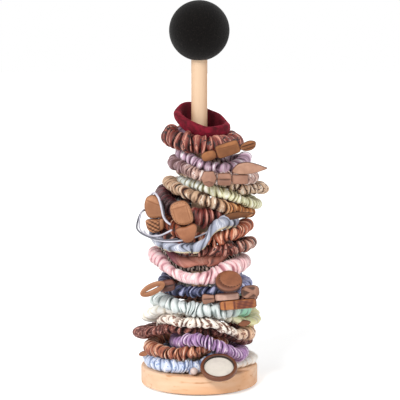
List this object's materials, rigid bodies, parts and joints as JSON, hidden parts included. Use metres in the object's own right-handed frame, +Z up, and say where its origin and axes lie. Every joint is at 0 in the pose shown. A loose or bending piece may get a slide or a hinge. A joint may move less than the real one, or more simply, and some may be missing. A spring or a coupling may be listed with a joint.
{
  "type": "headband holder",
  "caption": "Wooden headband and hair tie holder: a round base and a dowel post with a black felt ball on top, stocked with a stack of scrunchies, bands and leather-trimmed hair ties",
  "frame": {"origin": "the middle of the foot pad's underside, on the surface that the holder stands on", "axes": "+Z up along the post; -Y is the front, the side that the holder is shown from; +X is the viewer's right"},
  "size_m": [0.1239, 0.1272, 0.3623],
  "materials": {
    "pale_wood": "smooth matte pine",
    "pad_foam": "matte",
    "zinc_steel": "zinc plated",
    "cream_scrunchie": "gathered satin",
    "blue_print_scrunchie": "gathered satin",
    "rust_striped_scrunchie": "gathered satin",
    "purple_scrunchie": "gathered satin",
    "dark_brown_scrunchie": "gathered satin",
    "cream_striped_scrunchie": "gathered satin",
    "organza_scrunchie": "sheer organza",
    "mint_scrunchie": "gathered satin",
    "brown_bow_tie": "gathered satin",
    "navy_scrunchie": "gathered satin",
    "pink_scrunchie": "gathered satin",
    "zebra_scrunchie": "gathered satin",
    "brown_band": "smooth satin knit",
    "dark_leopard_scrunchie": "gathered satin",
    "coral_scrunchie": "gathered satin",
    "steel_blue_scrunchie": "gathered satin",
    "cord_tie": "thin round elastic",
    "burgundy_scrunchie": "gathered satin",
    "beige_striped_scrunchie": "gathered satin",
    "green_scrunchie": "gathered satin",
    "leopard_scrunchie": "gathered satin",
    "taupe_bow_scrunchie": "gathered satin",
    "lilac_scrunchie": "gathered satin",
    "rust_leopard_scrunchie": "gathered satin",
    "mauve_band": "matte knit",
    "maroon_band": "smooth velvet",
    "black_felt": "matte felt",
    "grey_pink_bead": "satin",
    "brown_leather": "matte, grained",
    "cream_enamel": "satin cream inlay",
    "tan_leather": "matte, grained",
    "dark_brown_leather": "matte, grained"
  },
  "bodies": {
    "stand": {"foot_pad": "pad_foam", "base": "pale_wood", "base_screw": "zinc_steel", "post": "pale_wood"},
    "cream_scrunchie": {"cream_scrunchie": "cream_scrunchie"},
    "blue_print_scrunchie": {"blue_print_scrunchie": "blue_print_scrunchie", "charm_bead": "grey_pink_bead", "disc_charm_rim": "brown_leather", "disc_charm_face": "cream_enamel"},
    "rust_striped_scrunchie": {"rust_striped_scrunchie": "rust_striped_scrunchie", "rust_tab": "tan_leather"},
    "purple_scrunchie": {"purple_scrunchie": "purple_scrunchie"},
    "dark_brown_scrunchie": {"dark_brown_scrunchie": "dark_brown_scrunchie"},
    "cream_striped_scrunchie": {"cream_striped_scrunchie": "cream_striped_scrunchie"},
    "organza_scrunchie": {"organza_scrunchie": "organza_scrunchie", "olive_tab": "tan_leather"},
    "mint_scrunchie": {"mint_scrunchie": "mint_scrunchie"},
    "brown_bow_tie": {"brown_bow_tie": "brown_bow_tie", "brown_bow_back_loop": "brown_leather", "brown_bow_knot": "brown_leather", "brown_bow_left_loop": "brown_leather", "brown_bow_right_loop": "brown_leather"},
    "navy_scrunchie": {"navy_scrunchie": "navy_scrunchie", "dark_brown_knot": "dark_brown_leather", "tan_leather_loop": "tan_leather", "round_leather_charm": "tan_leather"},
    "pink_scrunchie": {"pink_scrunchie": "pink_scrunchie"},
    "zebra_scrunchie": {"zebra_scrunchie": "zebra_scrunchie"},
    "brown_band": {"brown_band": "brown_band"},
    "dark_leopard_scrunchie": {"dark_leopard_scrunchie": "dark_leopard_scrunchie"},
    "coral_scrunchie": {"coral_scrunchie": "coral_scrunchie"},
    "steel_blue_scrunchie": {"steel_blue_scrunchie": "steel_blue_scrunchie"},
    "cord_tie": {"cord_tie": "cord_tie", "left_charm_block": "tan_leather", "left_charm_skirt": "brown_leather", "right_charm_block": "tan_leather", "right_charm_skirt": "tan_leather"},
    "burgundy_scrunchie": {"burgundy_scrunchie": "burgundy_scrunchie"},
    "beige_striped_scrunchie": {"beige_striped_scrunchie": "beige_striped_scrunchie", "suede_tab": "tan_leather"},
    "green_scrunchie": {"green_scrunchie": "green_scrunchie"},
    "leopard_scrunchie": {"leopard_scrunchie": "leopard_scrunchie"},
    "taupe_bow_scrunchie": {"taupe_bow_scrunchie": "taupe_bow_scrunchie", "leather_bow_tail": "tan_leather", "leather_bow_knot": "tan_leather", "leather_bow_left_loop": "tan_leather", "leather_bow_right_loop": "tan_leather"},
    "lilac_scrunchie": {"lilac_scrunchie": "lilac_scrunchie"},
    "rust_leopard_scrunchie": {"rust_leopard_scrunchie": "rust_leopard_scrunchie", "suede_bow_knot": "tan_leather", "suede_bow_left_loop": "tan_leather", "suede_bow_right_loop": "tan_leather"},
    "mauve_band": {"mauve_band": "mauve_band"},
    "maroon_band": {"maroon_band": "maroon_band"},
    "stud": {"ball_stud": "zinc_steel"},
    "ball": {"ball_core": "pale_wood", "ball_cover": "black_felt"}
  },
  "joints": [
    {"name": "cream_scrunchie_lift", "type": "slide", "parent": "stand", "child": "cream_scrunchie", "axis": [0, 0, 1], "range_m": [0, 0.0005]},
    {"name": "blue_print_scrunchie_lift", "type": "slide", "parent": "cream_scrunchie", "child": "blue_print_scrunchie", "axis": [0, 0, 1], "range_m": [0, 0.0005]},
    {"name": "rust_striped_scrunchie_lift", "type": "slide", "parent": "blue_print_scrunchie", "child": "rust_striped_scrunchie", "axis": [0, 0, 1], "range_m": [0, 0.0005]},
    {"name": "purple_scrunchie_lift", "type": "slide", "parent": "rust_striped_scrunchie", "child": "purple_scrunchie", "axis": [0, 0, 1], "range_m": [0, 0.0005]},
    {"name": "dark_brown_scrunchie_lift", "type": "slide", "parent": "purple_scrunchie", "child": "dark_brown_scrunchie", "axis": [0, 0, 1], "range_m": [0, 0.0005]},
    {"name": "cream_striped_scrunchie_lift", "type": "slide", "parent": "dark_brown_scrunchie", "child": "cream_striped_scrunchie", "axis": [0, 0, 1], "range_m": [0, 0.0005]},
    {"name": "organza_scrunchie_lift", "type": "slide", "parent": "cream_striped_scrunchie", "child": "organza_scrunchie", "axis": [0, 0, 1], "range_m": [0, 0.0005]},
    {"name": "mint_scrunchie_lift", "type": "slide", "parent": "organza_scrunchie", "child": "mint_scrunchie", "axis": [0, 0, 1], "range_m": [0, 0.0005]},
    {"name": "brown_bow_tie_lift", "type": "slide", "parent": "mint_scrunchie", "child": "brown_bow_tie", "axis": [0, 0, 1], "range_m": [0, 0.0005]},
    {"name": "navy_scrunchie_lift", "type": "slide", "parent": "brown_bow_tie", "child": "navy_scrunchie", "axis": [0, 0, 1], "range_m": [0, 0.0005]},
    {"name": "pink_scrunchie_lift", "type": "slide", "parent": "navy_scrunchie", "child": "pink_scrunchie", "axis": [0, 0, 1], "range_m": [0, 0.0005]},
    {"name": "zebra_scrunchie_lift", "type": "slide", "parent": "pink_scrunchie", "child": "zebra_scrunchie", "axis": [0, 0, 1], "range_m": [0, 0.0005]},
    {"name": "brown_band_lift", "type": "slide", "parent": "zebra_scrunchie", "child": "brown_band", "axis": [0, 0, 1], "range_m": [0, 0.0005]},
    {"name": "dark_leopard_scrunchie_lift", "type": "slide", "parent": "brown_band", "child": "dark_leopard_scrunchie", "axis": [0, 0, 1], "range_m": [0, 0.0005]},
    {"name": "coral_scrunchie_lift", "type": "slide", "parent": "dark_leopard_scrunchie", "child": "coral_scrunchie", "axis": [0, 0, 1], "range_m": [0, 0.0005]},
    {"name": "steel_blue_scrunchie_lift", "type": "slide", "parent": "coral_scrunchie", "child": "steel_blue_scrunchie", "axis": [0, 0, 1], "range_m": [0, 0.0005]},
    {"name": "cord_tie_lift", "type": "slide", "parent": "steel_blue_scrunchie", "child": "cord_tie", "axis": [0, 0, 1], "range_m": [0, 0.0005]},
    {"name": "burgundy_scrunchie_lift", "type": "slide", "parent": "cord_tie", "child": "burgundy_scrunchie", "axis": [0, 0, 1], "range_m": [0, 0.0005]},
    {"name": "beige_striped_scrunchie_lift", "type": "slide", "parent": "burgundy_scrunchie", "child": "beige_striped_scrunchie", "axis": [0, 0, 1], "range_m": [0, 0.0005]},
    {"name": "green_scrunchie_lift", "type": "slide", "parent": "beige_striped_scrunchie", "child": "green_scrunchie", "axis": [0, 0, 1], "range_m": [0, 0.0005]},
    {"name": "leopard_scrunchie_lift", "type": "slide", "parent": "green_scrunchie", "child": "leopard_scrunchie", "axis": [0, 0, 1], "range_m": [0, 0.0005]},
    {"name": "taupe_bow_scrunchie_lift", "type": "slide", "parent": "leopard_scrunchie", "child": "taupe_bow_scrunchie", "axis": [0, 0, 1], "range_m": [0, 0.0005]},
    {"name": "lilac_scrunchie_lift", "type": "slide", "parent": "taupe_bow_scrunchie", "child": "lilac_scrunchie", "axis": [0, 0, 1], "range_m": [0, 0.0005]},
    {"name": "rust_leopard_scrunchie_lift", "type": "slide", "parent": "lilac_scrunchie", "child": "rust_leopard_scrunchie", "axis": [0, 0, 1], "range_m": [0, 0.002]},
    {"name": "mauve_band_lift", "type": "slide", "parent": "rust_leopard_scrunchie", "child": "mauve_band", "axis": [0, 0, 1], "range_m": [0, 0.003]},
    {"name": "maroon_band_lift", "type": "slide", "parent": "mauve_band", "child": "maroon_band", "axis": [0, 0, 1], "range_m": [0, 0.02]},
    {"name": "ball_lift", "type": "slide", "parent": "stand", "child": "stud", "axis": [0, 0, 1], "range_m": [0, 0.015]},
    {"name": "ball_unscrew", "type": "hinge", "parent": "stud", "child": "ball", "pos_m": [0, 0, 0.33488], "axis": [0, 0, 1], "range_deg": [0, 2160]}
  ],
  "couplings": [
    {"joint": "ball_lift", "follows": "ball_unscrew", "m_per_rad": 0.00039789}
  ]
}
